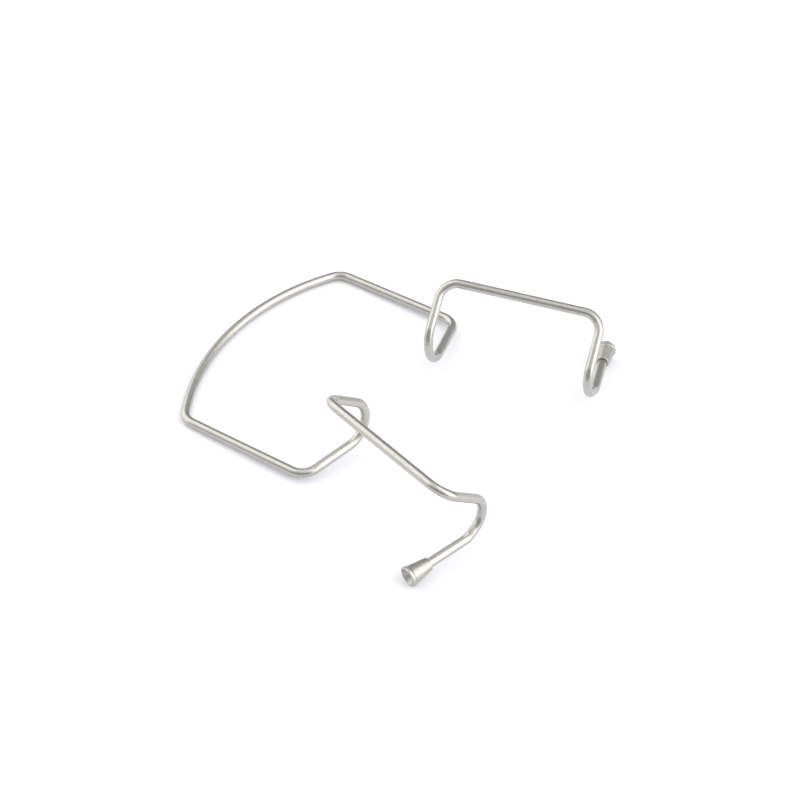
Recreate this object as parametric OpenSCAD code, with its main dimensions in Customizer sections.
// Cheek retractor for dental work: one springy bow of round wire bent into
// two mirrored cheek hooks, with a flared metal sleeve crimped on each wire end.
// Rests on a table: +Z up, +X from the bow towards the front hooks, +Y to the left side.
// Origin: middle of the bounding box, on the table.

/* [Wire] */
// Diameter of the spring wire
wire_d = 2.5; // [2.2:0.1:2.8]
// Centreline radius of the ordinary bends
bend_r = 5; // [4:0.5:5.5]

/* [Bow] */
// Distance between the two corners of the bow, centre to centre
bow_w = 72; // [64:1:80]
// How far the middle of the bow bulges out past its corners
bow_rise = 11; // [9:0.5:13]
// Where each half of the bow flexes, as an angle out from its middle
flex_angle = 24; // [18:1:26]

/* [Arms] */
// Length of each arm, from the bow's corner to the rear hook
arm_l = 39.5; // [34:0.5:46]
// Height of the arm's far end above the table, at its centreline
arm_h = 2.25; // [1.5:0.25:3]

/* [Cheek bars] */
// How far the cheek bars spread apart towards the front, each side, in degrees
bar_splay = 14.5; // [12:0.1:17]
// Length of each cheek bar, from rear hook to front hook, corner to corner
bar_l = 44.25; // [38:0.25:50]
// Height of the cheek bars above the table, at their centreline
bar_h = 24; // [23:0.25:26]
// Distance of the cheek bars outward from the splay line through the middle of the bow's corners
bar_out = 16.5; // [15:0.25:18]

/* [Rear hooks] */
// Outward distance of the lower corner of the closed end
rear_low_out = 5.75; // [5.25:0.25:6.25]
// Height of the lower corner of the closed end
rear_low_h = 3.75; // [3.25:0.25:4]
// Outward distance of the upper corner of the closed end
rear_high_out = 2; // [1:0.25:2.75]
// Height of the upper corner of the closed end
rear_high_h = 12.5; // [12.5:0.25:14]
// Centreline radius of the closed end
rear_r = 6.75; // [6:0.25:6.75]

/* [Front hooks] */
// Outward distance of the upper corner of the closed end
front_high_out = -1; // [-2:0.25:0]
// Height of the upper corner of the closed end
front_high_h = 9.5; // [9:0.25:10.5]
// Outward distance of the lower corner of the closed end
front_low_out = 9.25; // [8.5:0.25:10]
// Height of the lower corner of the closed end
front_low_h = 4.25; // [4:0.25:4.75]
// Centreline radius of the closed end
front_r = 5.75; // [5:0.25:5.75]
// How far the top of each hook leans back towards the bow
hook_lean = 1.25; // [0:0.25:1.5]
// How far each front leg's end sits back towards the bow
leg_back = 1.5; // [0:0.25:2.5]

/* [End sleeves] */
// Outward distance of the sleeve's open end
sleeve_out = 27.75; // [26:0.25:31]
// Length of the sleeve
sleeve_l = 6.5; // [5:0.25:8]
// Outer diameter where the wire goes in
sleeve_d_in = 3.5; // [3.3:0.1:4.2]
// Outer diameter at the flared open end, which touches the table
sleeve_d_out = 5.5; // [5:0.1:6]
// Diameter of the cone-shaped mouth at the open end
mouth_d = 4.6; // [4:0.1:4.6]
// Depth of the cone-shaped mouth
mouth_depth = 1.25; // [1:0.25:1.5]
// How far the wire's end lies inside the open end
wire_inset = 2.5; // [2:0.25:3]
// Bevel around the sleeve's edges
sleeve_bevel = 0.2; // [0.1:0.05:0.2]

/* [Hidden] */
$fn = 96;

r = wire_d / 2;
// Drawing the wire round a bend thins it slightly, and each straight runs this far
// into the bend beside it, so that one length of wire is one solid.
r_bent = r - 0.01;
lap = 0.2;

// Bow: an arc through the middle of the bow and its two corners.
bow_r = (pow(bow_w / 2, 2) + pow(bow_rise, 2)) / (2 * bow_rise);
bow_cx = bow_r - bow_rise;
// Centre of the corner bend, inside the bow's arc and tangent to the arm.
bend_y = bow_w / 2 - bend_r;
bend_x = bow_cx - sqrt(pow(bow_r - bend_r, 2) - pow(bend_y, 2));
// Angle out from the bow's middle where its arc runs into the corner bend.
bow_end = atan2(bend_y, bow_cx - bend_x);

// Flex line: an upright axis through the wire. The bow ends there in a rounded
// nose that sits in a matching hollow, so the wire stays whole as it flexes.
flex_at = [bow_cx - bow_r * cos(flex_angle), bow_r * sin(flex_angle), 0];
nose_r = 1.3 * r;
nose_gap = 0.03;

// Directions along a cheek bar and outward from it, on the left side.
along = [cos(bar_splay), sin(bar_splay), 0];
outward = [-sin(bar_splay), cos(bar_splay), 0];
up = [0, 0, 1];
arm_end = [arm_l, bow_w / 2, arm_h];
hook_s = arm_end * along;
function place(s, out, h) = s * along + out * outward + h * up;

// Corner points of the left wire, from the bow's corner to the wire's end.
rear_low = place(hook_s, rear_low_out, rear_low_h);
rear_high = place(hook_s - hook_lean, rear_high_out, rear_high_h);
bar_rear = place(hook_s - hook_lean, bar_out, bar_h);
bar_front = place(hook_s + bar_l - hook_lean, bar_out, bar_h);
front_high = place(hook_s + bar_l - hook_lean, front_high_out, front_high_h);
front_low = place(hook_s + bar_l, front_low_out, front_low_h);
// The sleeve's flared end just touches the table, 0.05 mm lower than a level
// sharp-edged end would, because of its bevel and the leg's slope.
sleeve_end = place(hook_s + bar_l - leg_back, sleeve_out, sleeve_d_out / 2 - 0.05);

function unit(v) = v / norm(v);
function turn(a, b, c) = acos(unit(b - a) * unit(c - b));
// Distance from a corner point to where its bend begins.
function setback(a, b, c, rad) = rad * tan(turn(a, b, c) / 2);
function bend_start(a, b, c, rad) = b - unit(b - a) * setback(a, b, c, rad);
function bend_finish(a, b, c, rad) = b + unit(c - b) * setback(a, b, c, rad);
function bend_centre(a, b, c, rad) =
    b + unit(unit(c - b) - unit(b - a)) * rad / cos(turn(a, b, c) / 2);

// Where each length of wire starts and stops.
shoulder_end = [bow_cx - bow_r * cos(bow_end), bow_r * sin(bow_end), r];
bow_corner = [bend_x - bend_r * tan((90 - bow_end) / 2), bow_w / 2, r];
leg_end = unit(sleeve_end - front_low);
sleeve_start = sleeve_end - leg_end * sleeve_l;
wire_end = sleeve_end - leg_end * wire_inset;

// Furthest point of the front hook from the bow, found along its lower bend,
// and the middle of the whole object between it and the bow.
function bend_point(a, b, c, rad, t) =
    let (m = bend_centre(a, b, c, rad), x = unit(bend_start(a, b, c, rad) - m), y = unit(b - a))
    m + rad * (cos(t) * x + sin(t) * y);
front_reach = max([for (t = [0:0.5:turn(bar_front, front_high, front_low)])
    let (p = bend_point(bar_front, front_high, front_low, front_r, t),
         q = bend_point(bar_front, front_high, front_low, front_r, t + 0.1),
         d = unit(q - p))
    p[0] + r * sqrt(1 - d[0] * d[0])]);
mid_x = (front_reach - bow_rise - r) / 2;

// Straight length of wire between two points, run on into a bend at either end.
module straight(a, b, on_a = 0, on_b = 0) {
    d = unit(b - a);
    o = a - d * on_a;
    x = unit(cross(abs(d[2]) > 0.9 ? [1, 0, 0] : up, d));
    y = cross(d, x);
    multmatrix([[x[0], y[0], d[0], o[0]],
                [x[1], y[1], d[1], o[1]],
                [x[2], y[2], d[2], o[2]],
                [0, 0, 0, 1]])
        cylinder(r = r, h = norm(b - a) + on_a + on_b);
}

// Bend of the wire around corner point b, between the lines from a and to c.
module bend(a, b, c, rad) {
    m = bend_centre(a, b, c, rad);
    x = unit(bend_start(a, b, c, rad) - m);
    y = unit(b - a);
    z = cross(x, y);
    multmatrix([[x[0], y[0], z[0], m[0]],
                [x[1], y[1], z[1], m[1]],
                [x[2], y[2], z[2], m[2]],
                [0, 0, 0, 1]])
        rotate_extrude(angle = turn(a, b, c)) translate([rad, 0]) circle(r_bent);
}

// Part of the bow's arc, between two angles out from its middle.
module bow_arc(from, to) {
    translate([bow_cx, 0, r]) rotate([0, 0, 180 - to])
        rotate_extrude(angle = to - from) translate([bow_r, 0]) circle(r);
}

// The left side is s = 1 and the right side, its mirror image, is s = -1.
function on(s, p) = [p[0], s * p[1], p[2]];

// Bend number n of one side's wire, and the straight from bend n to bend n + 1.
wire = [shoulder_end, bow_corner, arm_end, rear_low, rear_high,
        bar_rear, bar_front, front_high, front_low, sleeve_end];
radius = [0, bend_r, bend_r, rear_r, rear_r, bend_r, bend_r, front_r, front_r];
module wire_bend(s, n) bend(on(s, wire[n - 1]), on(s, wire[n]), on(s, wire[n + 1]), radius[n]);
module wire_straight(s, n, on_a, on_b)
    straight(on(s, bend_finish(wire[n - 1], wire[n], wire[n + 1], radius[n])),
             on(s, bend_start(wire[n], wire[n + 1], wire[n + 2], radius[n + 1])), on_a, on_b);

// What lies past the bow's nose.
module past_nose(s) {
    translate(on(s, flex_at)) rotate([0, 0, -s * flex_angle]) difference() {
        translate([-2 * wire_d, s > 0 ? 0 : -4 * wire_d, -wire_d])
            cube([4 * wire_d, 4 * wire_d, 3 * wire_d]);
        translate([0, 0, -2 * wire_d]) cylinder(r = nose_r, h = 5 * wire_d);
    }
}

// Every piece is drawn from the bow's corner line and moved to the middle of the whole object.
module centred() color("gainsboro") translate([-mid_x, 0, 0]) children();

// Middle of the spring bow, with a rounded nose at each flex line.
module bow() {
    centred() difference() {
        bow_arc(-flex_angle - 3, flex_angle + 3);
        past_nose(1);
        past_nose(-1);
    }
}

// Shoulder of the bow, its corner bend and the straight arm.
module outer_arm(s) {
    to = bow_end + lap / bow_r * 180 / PI;
    centred() {
        difference() {
            if (s > 0) bow_arc(flex_angle, to); else bow_arc(-to, -flex_angle);
            translate(on(s, flex_at)) translate([0, 0, -wire_d]) cylinder(r = nose_r + nose_gap, h = 4 * wire_d);
        }
        wire_bend(s, 1);
        wire_straight(s, 1, lap, lap);
        wire_bend(s, 2);
    }
}

// Rear hook: lower leg, closed end, and upper leg up to the bar.
module rear_hook(s) {
    centred() {
        wire_straight(s, 2, 0, lap);
        wire_bend(s, 3);
        wire_straight(s, 3, lap, lap);
        wire_bend(s, 4);
        wire_straight(s, 4, lap, 0);
    }
}

// Cheek bar with the bend at each end of it.
module cheek_bar(s) {
    centred() {
        wire_bend(s, 5);
        wire_straight(s, 5, lap, lap);
        wire_bend(s, 6);
    }
}

// Front hook: upper leg, closed end, and lower leg out into the end sleeve.
module front_hook(s) {
    centred() {
        wire_straight(s, 6, 0, lap);
        wire_bend(s, 7);
        wire_straight(s, 7, lap, lap);
        wire_bend(s, 8);
        straight(on(s, bend_finish(front_high, front_low, sleeve_end, front_r)), on(s, wire_end), lap, 0);
    }
}

// Flared metal sleeve crimped over the wire's end, open at its outer face.
module end_sleeve(s) {
    d = on(s, leg_end);
    o = on(s, sleeve_start);
    x = unit(cross(up, d));
    y = cross(d, x);
    e = sleeve_bevel;
    k = (sleeve_d_out - sleeve_d_in) / 2 / sleeve_l;
    centred() multmatrix([[x[0], y[0], d[0], o[0]],
                          [x[1], y[1], d[1], o[1]],
                          [x[2], y[2], d[2], o[2]],
                          [0, 0, 0, 1]])
        rotate_extrude() polygon([
            [r, 0],
            [sleeve_d_in / 2 - e, 0],
            [sleeve_d_in / 2 + k * e, e],
            [sleeve_d_out / 2 - k * e, sleeve_l - e],
            [sleeve_d_out / 2 - e, sleeve_l],
            [mouth_d / 2, sleeve_l],
            [r, sleeve_l - mouth_depth]]);
}

bow();
outer_arm(1);  // left_outer_arm
rear_hook(1);  // left_rear_hook
cheek_bar(1);  // left_cheek_bar
front_hook(1);  // left_front_hook
end_sleeve(1);  // left_end_sleeve
outer_arm(-1);  // right_outer_arm
rear_hook(-1);  // right_rear_hook
cheek_bar(-1);  // right_cheek_bar
front_hook(-1);  // right_front_hook
end_sleeve(-1);  // right_end_sleeve
